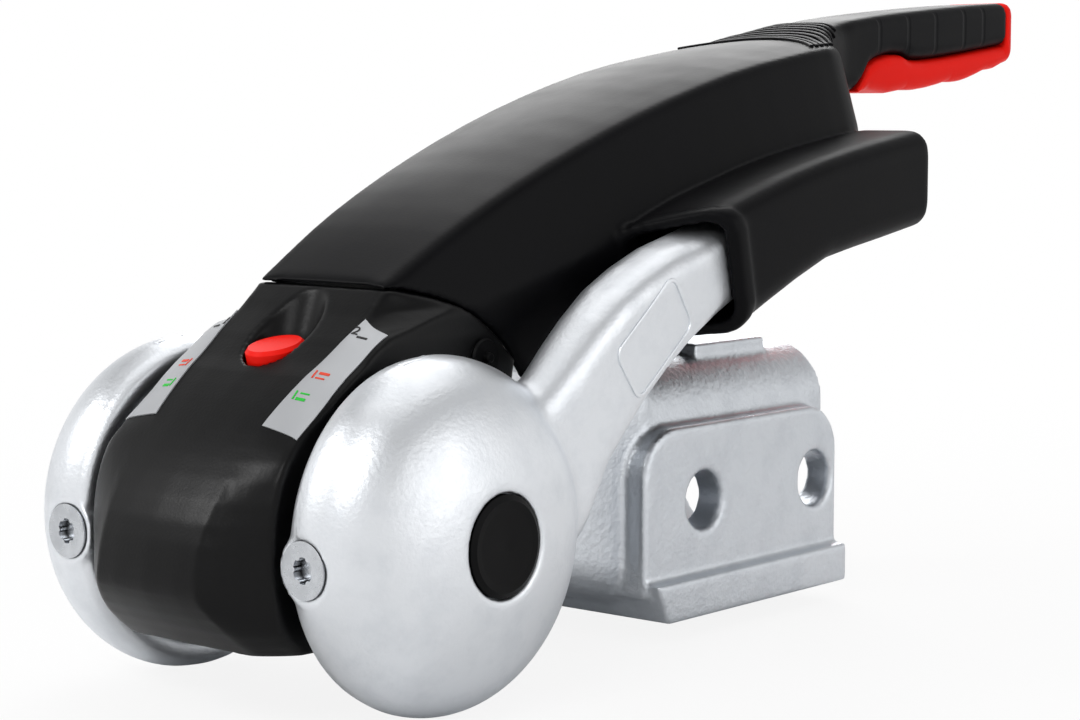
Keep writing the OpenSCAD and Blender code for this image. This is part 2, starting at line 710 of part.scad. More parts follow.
// Height of the skirt's edge, and how far an inset wall reaches down inside it
shell_edge_z = [[4.4, 30], [32, 38], [39, 43.9], [55, 54], [75, 61.8], [92, 58], [110, 54.5], [140, 61.5],
                [198, 70.5]];
lower_z = [[4.4, 47], [26, 51.8], [37, 55.2], [59.3, 61.4], [73, 65.5], [90.6, 73.5], [111.4, 79.7],
           [133.5, 85.3], [156.4, 89.6], [175.6, 92.4], [198, 95.5]];
inset_drop = [[4.4, 20], [84, 20], [104, 8], [120, 1], [198, 0.5]];
side_flare = 0.3;
hood_crown = [[4.4, 0.6], [30, 1.6], [70, 2.6], [198, 2.6]];
hood_front_x = 4.4;
hood_xs = [hood_front_x, 8, 13, 19, 26, 34, 43, 53, 64, 76, 88, 100, 113, 126, 140, 154, 168, 178, 186, 190, 193,
           195.3, 197, hood_rear_x];

// The front is built down to a lower arc about the pivot, then cut to hood_edge_r
lip_depth = 3;
function front_arc_z(x) = let (r = hood_edge_r - lip_depth) x < r ? sqrt(r * r - x * x) : 0;

// Half outline of the hood at x, from the skirt up to the crown, moved in by the wall t
function hood_half(x, t) =
    let (zc = curve(crease_z, x), wc = curve(crease_w, x), edge = front_arc_z(x),
         zl = max(curve(lower_z, x), edge + 1), wl = wc + side_flare * (zc - zl),
         zs = max(min(curve(shell_edge_z, x), zl - 0.3), edge + 0.5), ws = wl - 0.03 * (zl - zs),
         zi = max(zs - 0.3 - curve(inset_drop, x), edge), wi = ws - 0.12 * (zs - zi),
         crown = curve(hood_crown, x))
    [[wi - t, zi],
     [ws - t, zs],
     [wl - t, zl],
     [wc + 0.45 - t * 0.95, max(zc - 1.6 - t * 0.4, zl + 0.3)],
     [wc - 1 - t * 0.75, zc + 0.15 - t * 0.8],
     [wc * 0.8 - t * 0.2, zc + crown * 0.36 - t],
     [wc * 0.55, zc + crown * 0.7 - t],
     [wc * 0.28, zc + crown * 0.92 - t]];

function hood_wall(x) = min(shell_wall, 1.5 + 0.07 * (x - hood_front_x));
function hood_outline(x, t) =
    let (h = hood_half(x, t), n = len(h))
    concat([for (p = h) [x, p[0], p[1]]],
           [[x, 0, curve(crease_z, x) + curve(hood_crown, x) - t]],
           [for (k = [n - 1:-1:0]) [x, -h[k][0], h[k][1]]]);

rear_wall_low = 105;
function rear_wall_outline(x) =
    let (h = hood_half(x, 0.3), n = len(h), zc = curve(crease_z, x), wc = curve(crease_w, x),
         w = wc + side_flare * (zc - rear_wall_low) - 0.3)
    concat([[x, w, rear_wall_low]], [for (k = [3:n - 1]) [x, h[k][0], h[k][1]]],
           [[x, 0, zc + curve(hood_crown, x) - 0.3]],
           [for (k = [n - 1:-1:3]) [x, -h[k][0], h[k][1]]], [[x, -w, rear_wall_low]]);

module hood_shell() {
    difference() {
        shell_skin([for (x = hood_xs) hood_outline(x, 0)], [for (x = hood_xs) hood_outline(x, hood_wall(x))]);
        hub_cylinder(1, hood_edge_r, -40, 40);
    }
    skin([for (x = [hood_rear_x - shell_wall, hood_rear_x - 0.1]) rear_wall_outline(x)]);
}

// Side wings that clasp the arms
wing_low = [[82, 41], [100, 43.2], [111.9, 48.2], [127.4, 54.4], [141.7, 59.5], [164.2, 63.1], [191, 67.4]];
wing_in = 33;
wing_rear_x = 191;
wing_start_x = 68;
wing_xs = [wing_start_x, 78, 88, 100, 113, 127, 142, 156, 170, 182, wing_rear_x - 1.5, wing_rear_x];
wing_r = 6;
wing_wall = shell_wall - 0.4;
wing_soft = 1.6;
function wing_ring(x, side, inset) =
    let (soft = x > wing_rear_x - 1 ? wing_soft : 0, z0 = curve(wing_low, x) + inset + soft,
         z1 = curve(lower_z, x) + 0.6 - inset - soft, w = (wing_half_w - wing_in) / 2 - inset - soft)
    limb_ring(x, (z0 + z1) / 2, 90, side * (wing_half_w + wing_in) / 2, w, (z1 - z0) / 2, wing_r - inset * 0.8);

// Slanted slab across a wing's front, from d0 to d1 behind its front face
wing_lean = 10.6;
wing_sweep = 30;
collar_len = 4;
collar_rise = 0.9;
module wing_slab(side, d0, d1) {
    translate([96.7, side * wing_half_w, 58]) rotate([0, -wing_lean, -side * wing_sweep])
        translate([d0, -100, -60]) cube([d1 - d0, 200, 120]);
}

// Stations of a wing's hollow: open at the front, and one wall short of the rear face
function hollow_x(k) =
    k == 0 ? wing_start_x - 2 : min(wing_xs[k], wing_rear_x - shell_wall - 2 * (len(wing_xs) - 1 - k));

module wing(side) {
    difference() {
        union() {
            skin([for (x = wing_xs) wing_ring(x, side, 0)]);
            intersection() {
                skin([for (x = wing_xs) if (x < 130) wing_ring(x, side, -collar_rise)]);
                wing_slab(side, 0, collar_len);
            }
        }
        skin([for (k = [0:len(wing_xs) - 1]) wing_ring(hollow_x(k), side, wing_wall)]);
        wing_slab(side, -100, 0);
    }
}

// Grip: a moulded core that grows out of the hood, with a soft insert below
grip_len = grip_end_x - hood_rear_x;
grip_top = [[0, 121.6], [0.12, 126], [0.32, 129.6], [0.55, 132.4], [0.8, 134.9], [1, 136.4]];
grip_split = [[0, 104], [0.25, 107], [0.3, 114.4], [0.38, 117.6], [0.45, 118.4], [0.5, 116.6], [0.56, 116.6],
              [0.7, 118.2], [0.9, 121.2], [1, 122.6]];
grip_low = [[0.24, 105.6], [0.3, 106], [0.38, 106.2], [0.48, 107.2], [0.58, 108.8], [0.65, 110.9], [0.8, 112],
            [0.88, 113.8], [1, 116.7]];
grip_w = [[0, 24], [0.05, 18.5], [0.12, grip_half_w + 2], [0.2, grip_half_w], [1, grip_half_w]];
grip_core_ts = [0, 0.03, 0.07, 0.12, 0.18, 0.24, 0.27, 0.3, 0.34, 0.4, 0.46, 0.5, 0.56, 0.66, 0.8, 0.92, 0.965];
grip_insert_ts = [0.245, 0.27, 0.3, 0.34, 0.4, 0.46, 0.5, 0.56, 0.66, 0.73, 0.8, 0.92, 0.965];
// Finger hollows under the insert: their depth, and degrees of wave over the grip's length
finger_wave = 0.7;
finger_phase = 1500;
function grip_ring(t, low, high, w, r) =
    let (h = (high - low) / 2)
    limb_ring(hood_rear_x - 2 + grip_len * t, (low + high) / 2, 90, 0, w, h, min(r, h - 0.1));

module grip_core() {
    skin([for (t = grip_core_ts)
        grip_ring(t, curve(grip_split, t), curve(grip_top, t), curve(grip_w, t), 3.4)]);
}

module grip_insert() {
    color("#E5251B") {
        skin([for (t = grip_insert_ts)
            grip_ring(t, curve(grip_low, t) + finger_wave * sin(t * finger_phase),
                      curve(grip_split, t) - 0.15, curve(grip_w, t) - 0.1, 3)]);
        skin([for (t = [0.9665, 0.985, 0.999, 1.004])
            let (soft = t > 1 ? 2.2 : t > 0.99 ? 0.6 : 0, low = curve(grip_low, t) + soft,
                 high = curve(grip_top, t) + 0.1 - soft)
            grip_ring(t, low, high, grip_half_w - soft, 3.4)]);
    }
}

module handle_shell() {
    color("#1D1D1F") difference() {
        union() {
            hood_shell();
            for (side = [-1, 1]) wing(side);
            grip_core();
        }
        for (side = [-1, 1]) at_shell_screws() hub_cylinder(side, 3.1, shell_screw_head_y, shell_screw_end_y);
        for (side = [-1, 1]) at_shell_screws()
            hub_cylinder(side, 5.1, shell_screw_head_y - 4, shell_screw_head_y + 2.7);
    }
}

shell_screw_xs = [108, 120];
shell_screw_head_y = 24;
shell_screw_end_y = 50;
function shell_screw_z(x) = (curve(wing_low, x) + curve(lower_z, x)) / 2 + 2;
module at_shell_screws() {
    for (x = shell_screw_xs) translate([x, 0, shell_screw_z(x)]) children();
}

module shell_screws(side) {
    color("#A5A7AB") at_shell_screws() {
        hub_cylinder(side, 3, shell_screw_head_y, shell_screw_end_y - 0.5);
        hub_cylinder(side, 5, shell_screw_head_y, shell_screw_head_y + 2.6);
    }
}

// Coupling indicator
module indicator_button() {
    color("#E5251B") turned_to_indicator() {
        translate([0, 0, button_seat + 3]) cylinder(r = button_r, h = button_top - button_seat - 4.4);
        translate([0, 0, button_top - 1.4]) cylinder(r1 = button_r, r2 = button_r - 0.8, h = 1);
    }
}

stem_low = ball_r - button_travel + 0.4;
module indicator_stem() {
    color("#B9BBC0") turned_to_indicator() {
        translate([0, 0, stem_low]) cylinder(r = stem_r, h = button_seat + 2.95 - stem_low);
    }
}

spring_out_r = 5.4;
module indicator_spring() {
    color("#7F8187") turned_to_indicator() translate([0, 0, head_r + 0.3])
        coil(spring_out_r - 0.7, 0.6, button_seat + 2.9 - head_r - 0.3, 4);
}

housing_cup();
housing_socket();
nose_cover();
mirror([0, 1, 0]) wear_scale();  // wear_scale_left
wear_scale();  // wear_scale_right
front_friction_pad();
handle_pivot_pin();
pivot_clip(-1);  // pivot_clip_left
pivot_clip(1);  // pivot_clip_right
hub_ring(-1);  // hub_ring_left
hub_ring(1);  // hub_ring_right
arm(-1);  // arm_left
mirror([0, 1, 0]) arm(-1);  // arm_right
plug(-1);  // plug_left
plug(1);  // plug_right
dome_screw(-1);  // dome_screw_left
dome_screw(1);  // dome_screw_right
mirror([0, 1, 0]) cam_disc();  // cam_disc_left
cam_disc();  // cam_disc_right
mirror([0, 1, 0]) pad_piston();  // pad_piston_left
pad_piston();  // pad_piston_right
side_pad(-1);  // side_pad_left
side_pad(1);  // side_pad_right
ball_jaw();
rear_friction_pad();
jaw_spring();
release_handle();
handle_core();
handle_rivets();
handle_shell();
shell_screws(-1);  // shell_screws_left
shell_screws(1);  // shell_screws_right
grip_insert();
indicator_button();
indicator_stem();
indicator_spring();
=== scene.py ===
import json
import math

import bmesh
import bpy
from mathutils import Matrix, Vector


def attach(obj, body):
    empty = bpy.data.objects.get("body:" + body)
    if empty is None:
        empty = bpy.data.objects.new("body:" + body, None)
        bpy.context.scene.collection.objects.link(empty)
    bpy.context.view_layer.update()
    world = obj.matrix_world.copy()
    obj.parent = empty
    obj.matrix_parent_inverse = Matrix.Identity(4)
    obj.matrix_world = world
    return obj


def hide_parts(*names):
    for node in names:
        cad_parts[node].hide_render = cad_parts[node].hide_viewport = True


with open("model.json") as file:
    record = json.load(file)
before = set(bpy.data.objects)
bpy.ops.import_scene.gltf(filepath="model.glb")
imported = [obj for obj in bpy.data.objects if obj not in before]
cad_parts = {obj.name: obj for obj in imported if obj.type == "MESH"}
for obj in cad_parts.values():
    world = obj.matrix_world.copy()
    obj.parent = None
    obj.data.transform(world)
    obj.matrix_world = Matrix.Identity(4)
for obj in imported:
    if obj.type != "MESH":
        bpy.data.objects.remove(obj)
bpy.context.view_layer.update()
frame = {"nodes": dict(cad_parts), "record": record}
nodes = frame["nodes"]
MM = 0.001

BODY_OF = {}
for body, members in frame["record"]["behaviour"]["bodies"].items():
    for member in members:
        BODY_OF[member] = body

NOISE = "ShaderNodeTexNoise"
RANGE = "ShaderNodeMapRange"
MIX = "ShaderNodeMix"
BUMP = "ShaderNodeBump"
MATH = "ShaderNodeMath"


# ---------------------------------------------------------------- materials
def colour(code):
    """Linear colour of a hex sRGB code."""
    values = []
    for i in (0, 2, 4):
        c = int(code[i:i + 2], 16) / 255
        values.append(c / 12.92 if c <= 0.04045 else ((c + 0.055) / 1.055) ** 2.4)
    return (*values, 1.0)


def add(tree, kind, inputs=(), out=0, **settings):
    """A node with its settings and its inputs, values or sockets; gives one of its outputs."""
    node = tree.nodes.new(kind)
    for key, value in settings.items():
        setattr(node, key, value)
    for key, value in inputs:
        if isinstance(value, bpy.types.NodeSocket):
            tree.links.new(value, node.inputs[key])
        else:
            node.inputs[key].default_value = value
    return node.outputs[out]


def start(name, **shader):
    """A new material, its tree, its shader and the object coordinates in metres."""
    material = bpy.data.materials.new(name)
    material.use_nodes = True
    tree = material.node_tree
    principled = tree.nodes["Principled BSDF"]
    for key, value in shader.items():
        principled.inputs[key.replace("_", " ")].default_value = value
    place = add(tree, "ShaderNodeTexCoord", out="Object")
    return material, tree, principled, place


def patches(size, detail=2.0, roughness=0.5):
    """Noise settings for patches about size mm across."""
    return [("Scale", 1 / (size * MM)), ("Detail", detail), ("Roughness", roughness)]


def between(low, high, start_at=0.3, end_at=0.7):
    """Range settings that take start_at to low and end_at to high."""
    return [("From Min", start_at), ("From Max", end_at), ("To Min", low), ("To Max", high)]


def relief(tree, shader, layers):
    """Layers of height, each with its depth in mm, on the shader's normal."""
    normal = None
    for height, depth in layers:
        inputs = [("Height", height), ("Distance", depth * MM), ("Strength", 1.0)]
        if normal is not None:
            inputs.append(("Normal", normal))
        normal = add(tree, BUMP, inputs)
    tree.links.new(normal, shader.inputs["Normal"])


def cast_metal(name, light, dark, rough, grain, depth):
    """Cast metal: a pebbled skin, slow unevenness and faint stains."""
    material, tree, shader, place = start(name, Metallic=1.0)
    slow = add(tree, NOISE, [("Vector", place)] + patches(26, 2.0))
    pebble = add(tree, NOISE, [("Vector", place)] + patches(grain, 2.0))
    stain = add(tree, NOISE, [("Vector", place)] + patches(9, 4.0, 0.6))
    share = add(tree, RANGE, [("Value", stain)] + between(0.0, 0.5, 0.45, 0.75))
    base = add(tree, MIX, [(0, share), (6, colour(light)), (7, colour(dark))], 2, data_type="RGBA")
    rougher = add(tree, RANGE, [("Value", stain)] + between(rough - 0.03, rough + 0.05))
    tree.links.new(base, shader.inputs["Base Color"])
    tree.links.new(rougher, shader.inputs["Roughness"])
    relief(tree, shader, [(slow, 0.18), (pebble, depth)])
    return material


def moulded(name, base, worn, worn_share, rough, grain, depth, **shader_values):
    """Moulded plastic or rubber: a fine eroded grain, and patches dulled by handling."""
    material, tree, shader, place = start(name, **shader_values)
    grainy = add(tree, NOISE, [("Vector", place)] + patches(grain))
    patch = add(tree, NOISE, [("Vector", place)] + patches(30, 4.0, 0.6))
    share = add(tree, RANGE, [("Value", patch)] + between(0.0, worn_share, 0.4, 0.75))
    tint = add(tree, MIX, [(0, share), (6, colour(base)), (7, colour(worn))], 2, data_type="RGBA")
    dull = add(tree, RANGE, [("Value", patch)] + between(rough - 0.03, rough + 0.04))
    tree.links.new(tint, shader.inputs["Base Color"])
    tree.links.new(dull, shader.inputs["Roughness"])
    relief(tree, shader, [(grainy, depth)])
    return material


def groove_sides(material, places, half_width, depth):
    """Shallow upright grooves at these X places, in mm, on sides half_width from the middle."""
    tree = material.node_tree
    shader = tree.nodes["Principled BSDF"]
    before = shader.inputs["Normal"].links[0].from_socket
    place = add(tree, "ShaderNodeTexCoord", out="Object")
    along = add(tree, "ShaderNodeSeparateXYZ", [("Vector", place)], "X")
    aside = add(tree, MATH, [(0, add(tree, "ShaderNodeSeparateXYZ", [("Vector", place)], "Y"))],
                operation="ABSOLUTE")
    edge = half_width * MM
    height = add(tree, RANGE, [("Value", aside)] + between(1, 0, edge - 1.5 * MM, edge - 0.5 * MM))
    lowest = None
    for x in places:
        off = add(tree, MATH, [(0, along), (1, x * MM)], operation="SUBTRACT")
        away = add(tree, MATH, [(0, off)], operation="ABSOLUTE")
        wall = add(tree, RANGE, [("Value", away)] + between(0, 1, 0.2 * MM, 1.4 * MM),
                   interpolation_type="SMOOTHSTEP")
        if lowest is None:
            lowest = wall
        else:
            lowest = add(tree, MATH, [(0, lowest), (1, wall)], operation="MINIMUM")
    height = add(tree, MATH, [(0, height), (1, lowest)], operation="MAXIMUM")
    normal = add(tree, BUMP, [("Height", height), ("Distance", depth * MM), ("Strength", 1.0),
                              ("Normal", before)])
    tree.links.new(normal, shader.inputs["Normal"])


# Dulled patches on steel, and the painted shade in its recesses
DULL_STEEL = "8F9297"
PAINTED_SHADE = "1A1A1B"


def turned_steel(name, base, rough, recess_shade=0):
    """Plated or machined steel with faint scratches, and painted shade darkening recesses within
    this many mm.
    """
    material, tree, shader, place = start(name, Metallic=1.0)
    streak = add(tree, NOISE, [("Vector", place)] + patches(0.3, 3.0))
    patch = add(tree, NOISE, [("Vector", place)] + patches(5, 3.0))
    share = add(tree, RANGE, [("Value", patch)] + between(0.0, 0.4))
    tint = add(tree, MIX, [(0, share), (6, colour(base)), (7, colour(DULL_STEEL))], 2,
               data_type="RGBA")
    dull = add(tree, RANGE, [("Value", patch)] + between(rough - 0.04, rough + 0.06))
    if recess_shade:
        # Painted shade: the colour goes dark where ambient occlusion finds the surface closed in
        open_share = add(tree, "ShaderNodeAmbientOcclusion", [("Distance", recess_shade * MM)], "AO")
        shade_share = add(tree, RANGE, [("Value", open_share)] + between(0.9, 0.0, 0.35, 0.85))
        tint = add(tree, MIX, [(0, shade_share), (6, tint), (7, colour(PAINTED_SHADE))], 2, data_type="RGBA")
    tree.links.new(tint, shader.inputs["Base Color"])
    tree.links.new(dull, shader.inputs["Roughness"])
    relief(tree, shader, [(streak, 0.01)])
    return material


# Lever arms: die cast aluminium, blasted and lacquered, so bright and satin
lever_cast = cast_metal("die_cast_aluminium", "E8EBEF", "D6DADF", 0.4, 1.1, 0.08)
# Housing: cast iron with a silver dip coat, coarser and duller
housing_cast = cast_metal("coated_cast_iron", "D6DADF", "C4C8CE", 0.42, 1.7, 0.22)
# Nose cover: black rubber with a fine grain and a soft sheen
nose_rubber = moulded("black_rubber", "050506", "0B0B0C", 0.5, 0.36, 0.8, 0.03,
                      Specular_IOR_Level=0.18)
# Lever moulding: glass filled nylon with an eroded surface
lever_plastic = moulded("grained_nylon", "050507", "0D0D11", 0.4, 0.44, 0.7, 0.02,
                        Specular_IOR_Level=0.09)
# Grooves in the grip's sides, in mm
GROOVE_X = (238.9, 255.8, 272.1, 289.5, 301.6)
GRIP_HALF_WIDTH = 13
GROOVE_DEPTH = 0.14
groove_sides(lever_plastic, GROOVE_X, GRIP_HALF_WIDTH, GROOVE_DEPTH)
# Plugs and clips: nylon with a matt mould finish
plug_plastic = moulded("black_nylon", "050506", "0C0C0D", 0.4, 0.46, 0.6, 0.01,
                       Specular_IOR_Level=0.1)
# Grip insert and indicator button: soft red thermoplastic
red_plastic = moulded("red_thermoplastic", "F8180A", "EC1408", 0.3, 0.44, 0.6, 0.012,
                      Specular_IOR_Level=0.1)
# Friction linings: sintered material, open pored
lining = moulded("sintered_lining", "38332F", "5A514A", 0.6, 0.8, 0.8, 0.08)
# Springs: drawn wire
wire_steel = turned_steel("drawn_spring_wire", "A9ADB3", 0.34)
# Hidden works: machined steel
plain_steel = turned_steel("machined_steel", "9DA1A7", 0.38)
# Screws and pins: zinc plated steel, with painted shade in their recesses
zinc_steel = turned_steel("zinc_plated_steel", "CFD2D6", 0.26, recess_shade=2)
# Wear scales: silver printed film
film = moulded("silver_film", "B9BBBE", "A9ABAF", 0.4, 0.36, 3.0, 0.004, Metallic=0.3)
# Scale marks: printing inks
ink_black = moulded("black_ink", "121212", "1E1E1E", 0.5, 0.5, 1.0, 0.002)
ink_red = moulded("red_ink", "E5411F", "DA3A1A", 0.5, 0.5, 1.0, 0.002)
ink_green = moulded("green_ink", "08C22C", "06B527", 0.5, 0.5, 1.0, 0.002)

SLOT_MATERIAL = {
    "cast_housing": housing_cast, "cast_lever": lever_cast, "nose_rubber": nose_rubber,
    "scale_foil": film, "friction_lining": lining, "plug_plastic": plug_plastic,
    "lever_plastic": lever_plastic, "red_plastic": red_plastic, "spring_steel": wire_steel,
    "plain_steel": plain_steel, "zinc_steel": zinc_steel}
SLOT_OF = {s["node"]: s["material_slot"] for s in frame["record"]["subparts"]}


# ---------------------------------------------------------------- pieces
def only(obj):
    """Makes obj the one selected and active object."""
    bpy.ops.object.select_all(action="DESELECT")
    obj.select_set(True)
    bpy.context.view_layer.objects.active = obj


def modify(obj, kind, **settings):
    """Adds a modifier and applies it."""
    modifier = obj.modifiers.new(kind.lower(), kind)
    for key, value in settings.items():
        setattr(modifier, key, value)
    only(obj)
    bpy.ops.object.modifier_apply(modifier=modifier.name)


def dress(obj, material):
    """Gives obj one material."""
    obj.data.materials.clear()
    obj.data.materials.append(material)


def settle(obj, name, body, material):
    """Moves the piece's place into its mesh, names it, and ties it to a body."""
    only(obj)
    bpy.ops.object.transform_apply(location=True, rotation=True, scale=True)
    bpy.ops.object.shade_smooth_by_angle(angle=math.radians(40))
    obj.name = name
    dress(obj, material)
    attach(obj, body)
    return obj


def fade(value, low, high):
    """0 below low, 1 above high, and a smooth rise between them."""
    t = min(1.0, max(0.0, (value - low) / (high - low)))
    return t * t * (3 - 2 * t)


def soft_copy(name, voxel, rounds, keep=1.0, blend=None, blend_rounds=0, parts=None):
    """A copy of a CAD node, or of its parts, with its edges rounded as in a casting or moulding.

    blend gives each place, in mm, its share of blend_rounds more rounds of smoothing.
    """
    parts = parts or [name]
    obj = bpy.data.objects.new("soft_" + name, nodes[parts[0]].data.copy())
    bpy.context.scene.collection.objects.link(obj)
    mesh = bmesh.new()
    for part in parts:
        mesh.from_mesh(nodes[part].data)
    bmesh.ops.remove_doubles(mesh, verts=mesh.verts, dist=0.001 * MM)
    mesh.to_mesh(obj.data)
    mesh.free()
    modify(obj, "REMESH", mode="VOXEL", voxel_size=voxel * MM)
    modify(obj, "SMOOTH", factor=0.5, iterations=rounds)
    if blend:
        group = obj.vertex_groups.new(name="blend")
        for vertex in obj.data.vertices:
            share = blend(vertex.co / MM)
            if share > 0.01:
                group.add([vertex.index], share, "REPLACE")
        modify(obj, "SMOOTH", factor=0.5, iterations=blend_rounds, vertex_group="blend")
        obj.vertex_groups.clear()
    if keep < 1:
        modify(obj, "DECIMATE", ratio=keep)
    bpy.ops.object.shade_smooth()
    dress(obj, SLOT_MATERIAL[SLOT_OF[parts[0]]])
    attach(obj, BODY_OF[parts[0]])
    for part in parts:
        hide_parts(part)
    return obj


def displace(obj, share, depth, direction):
    """Moves the vertices by depth mm times their share."""
    group = obj.vertex_groups.new(name="share")
    for vertex in obj.data.vertices:
        group.add([vertex.index], share(vertex.co / MM), "REPLACE")
    modify(obj, "DISPLACE", strength=depth * MM, mid_level=0, direction=direction,
           vertex_group="share")
    obj.vertex_groups.clear()


# Edges of the nose's front face, in mm
NOSE_FACE_HALF_WIDTH = 17.8
NOSE_CREASE_Z = -9.4
# Swell of the nose's top, and the heights where it sets in and is full, in mm
NOSE_SWELL = 0.6
NOSE_SWELL_Z = (40, 46)
# Seats of the side pads in the housing, cut again after its rounding, in mm. Their radius is
# 2 mm more than that of the solid's seats, and they are 0.02 mm deeper
PAD_SEAT_R = 15.25
PAD_SEAT_Y = 30.52


def arm_root(place):
    """Share of blending where an arm's limb leaves its dome."""
    far = math.hypot(place.x, place.z)
    ahead = fade(place.x * 0.75 + place.z * 0.66, 24, 32)
    return ahead * fade(far, 33, 38) * (1 - fade(far, 50, 58)) * fade(abs(place.y), 43, 46)


def off_the_hubs(place):
    """Share of rounding on the housing, none in the cup and hubs where other pieces fit."""
    return fade(math.hypot(place.x, place.z), 30, 36)


def nose_planes(place):
    """Share of blending on the nose's faces, away from the edges round its front face."""
    beside = abs(abs(place.y) - NOSE_FACE_HALF_WIDTH)
    under = abs(place.z - NOSE_CREASE_Z)
    return fade(beside, 1.5, 4) * fade(under, 1.5, 4) * (1 - fade(place.z, 30, 36))


def hood_faces(place):
    """Share of blending on the hood: low at its creases, more at the grip, most on its crown."""
    crown = 1 - fade(abs(place.y), 13, 20)
    narrowing = fade(place.x, 184, 192) * fade(place.z, 90, 100)
    return (1 - fade(place.x, 214, 226)) * max(0.12, 0.4 * narrowing, crown)


# Two finger bulges under the grip insert: X at start and end, drop there, in mm
BULGES = [(256, 283, 0.0, 1.0), (283, 305, 1.0, 0.0)]
BULGE_DEPTH = 1.4
BULGE_MOST = 2.5
# Exponent that brings each bulge's deepest place ahead of its middle
BULGE_SKEW = 0.66
# Height of the insert's underside: a place on it, in mm, and its rise per mm
INSERT_LOW_X = 244
INSERT_LOW_Z = 105.9
INSERT_RISE = 0.129


def finger_bulge(place):
    """Share of BULGE_MOST by which the grip insert's underside drops."""
    above = place.z - (INSERT_LOW_Z + INSERT_RISE * (place.x - INSERT_LOW_X))
    for start_x, end_x, start_drop, end_drop in BULGES:
        if start_x <= place.x < end_x:
            along = (place.x - start_x) / (end_x - start_x)
            drop = start_drop + (end_drop - start_drop) * along
            drop += BULGE_DEPTH * math.sin(math.pi * along ** BULGE_SKEW)
            return drop / BULGE_MOST * (1 - fade(above, 1, 5))
    return 0.0


for name, obj in nodes.items():
    dress(obj, SLOT_MATERIAL[SLOT_OF[name]])

housing = soft_copy("housing", 0.9, 0, 0.6, off_the_hubs, 9, ["housing_cup", "housing_socket"])
bpy.ops.object.select_all(action="DESELECT")
bpy.ops.mesh.primitive_cylinder_add(vertices=96, radius=PAD_SEAT_R * MM, depth=2 * PAD_SEAT_Y * MM,
                                    rotation=(math.radians(90), 0, 0))
cutter = bpy.context.object
modify(housing, "BOOLEAN", operation="DIFFERENCE", object=cutter)
bpy.data.objects.remove(cutter)
arms = {side: soft_copy("arm_" + side, 0.8, 8, 0.8, arm_root, 40) for side in ("left", "right")}
nose = soft_copy("nose_cover", 0.6, 5, 1.0, nose_planes, 30)
hood = soft_copy("handle_shell", 0.8, 4, 0.6, hood_faces, 100)
insert = soft_copy("grip_insert", 0.6, 4)
soft_copy("release_handle", 0.8, 5)
displace(nose, lambda place: fade(place.z, *NOSE_SWELL_Z), NOSE_SWELL, "NORMAL")
displace(insert, finger_bulge, -BULGE_MOST, "Z")


# Nine crescent ribs on the hood's rear, closer to the grip each time
RIB_COUNT = 9
RIB_STEP = 2.6
RIB_BEND_R = 34
RIB_FIRST_X = 194
RIB_START_Z = 140
RIB_WIDTH = 1.2
RIB_HEIGHT = 1.5
RIB_BEVEL = 0.3
RIB_HALF_LENGTHS = [24.6, 25, 25, 24.8, 23.8, 19.4, 17, 15, 13.2]
for k in range(RIB_COUNT):
    length = 2 * RIB_BEND_R * math.asin(RIB_HALF_LENGTHS[k] / RIB_BEND_R)
    bpy.ops.object.select_all(action="DESELECT")
    bpy.ops.mesh.primitive_grid_add(x_subdivisions=32, y_subdivisions=2, size=1)
    rib = bpy.context.object
    rib.scale = (length * MM, RIB_WIDTH * MM, 1)
    bpy.ops.object.transform_apply(location=False, rotation=False, scale=True)
    modify(rib, "SIMPLE_DEFORM", deform_method="BEND", deform_axis="Z", angle=length / RIB_BEND_R)
    rib.rotation_euler = (0, 0, math.radians(90))
    rib.location = ((RIB_FIRST_X + RIB_STEP * k) * MM, 0, RIB_START_Z * MM)
    bpy.ops.object.transform_apply(location=True, rotation=True, scale=False)
    modify(rib, "SHRINKWRAP", target=hood, wrap_method="PROJECT", use_project_z=True,
           use_negative_direction=True, use_positive_direction=False)
    # What lies beside the hood stays at its start height and goes
    mesh = bmesh.new()
    mesh.from_mesh(rib.data)
    missed = [vertex for vertex in mesh.verts if vertex.co.z > (RIB_START_Z - 1) * MM]
    bmesh.ops.delete(mesh, geom=missed, context="VERTS")
    mesh.to_mesh(rib.data)
    mesh.free()
    modify(rib, "SOLIDIFY", thickness=RIB_HEIGHT * MM, offset=0)
    modify(rib, "BEVEL", width=RIB_BEVEL * MM, segments=2)
    settle(rib, f"hood_rib_{k + 1}", "stabiliser", lever_plastic)


# Raised line round the bare field on each arm: corners X, Z in mm
FIELD = [(71.4, 59.9), (80.4, 45.9), (57.7, 27.6), (48.0, 40.9)]
FIELD_START_Y = 62
FIELD_CORNER = 3.5
FIELD_LINE = 1.1
FIELD_HEIGHT = 0.9
FIELD_BEVEL = 0.25
for side, sign in (("left", -1), ("right", 1)):
    bpy.ops.object.select_all(action="DESELECT")
    bpy.ops.mesh.primitive_plane_add(size=1)
    field = bpy.context.object
    order = [3, 1, 0, 2]
    for index, (x, z) in zip(order, FIELD):
        field.data.vertices[index].co = (x * MM, sign * FIELD_START_Y * MM, z * MM)
    bpy.ops.object.mode_set(mode="EDIT")
    bpy.ops.mesh.select_all(action="SELECT")
    bpy.ops.mesh.bevel(offset=FIELD_CORNER * MM, segments=6, affect="VERTICES")
    bpy.ops.mesh.select_all(action="SELECT")
    bpy.ops.mesh.inset(thickness=FIELD_LINE * MM)
    bpy.ops.mesh.delete(type="FACE")
    bpy.ops.mesh.select_all(action="SELECT")
    bpy.ops.mesh.subdivide(number_cuts=2)
    bpy.ops.object.mode_set(mode="OBJECT")
    modify(field, "SHRINKWRAP", target=arms[side], wrap_method="PROJECT", use_project_y=True,
           use_negative_direction=sign > 0, use_positive_direction=sign < 0)
    modify(field, "SOLIDIFY", thickness=FIELD_HEIGHT * MM, offset=0)
    modify(field, "BEVEL", width=FIELD_BEVEL * MM, segments=2)
    settle(field, "arm_field_" + side, "stabiliser", lever_cast)


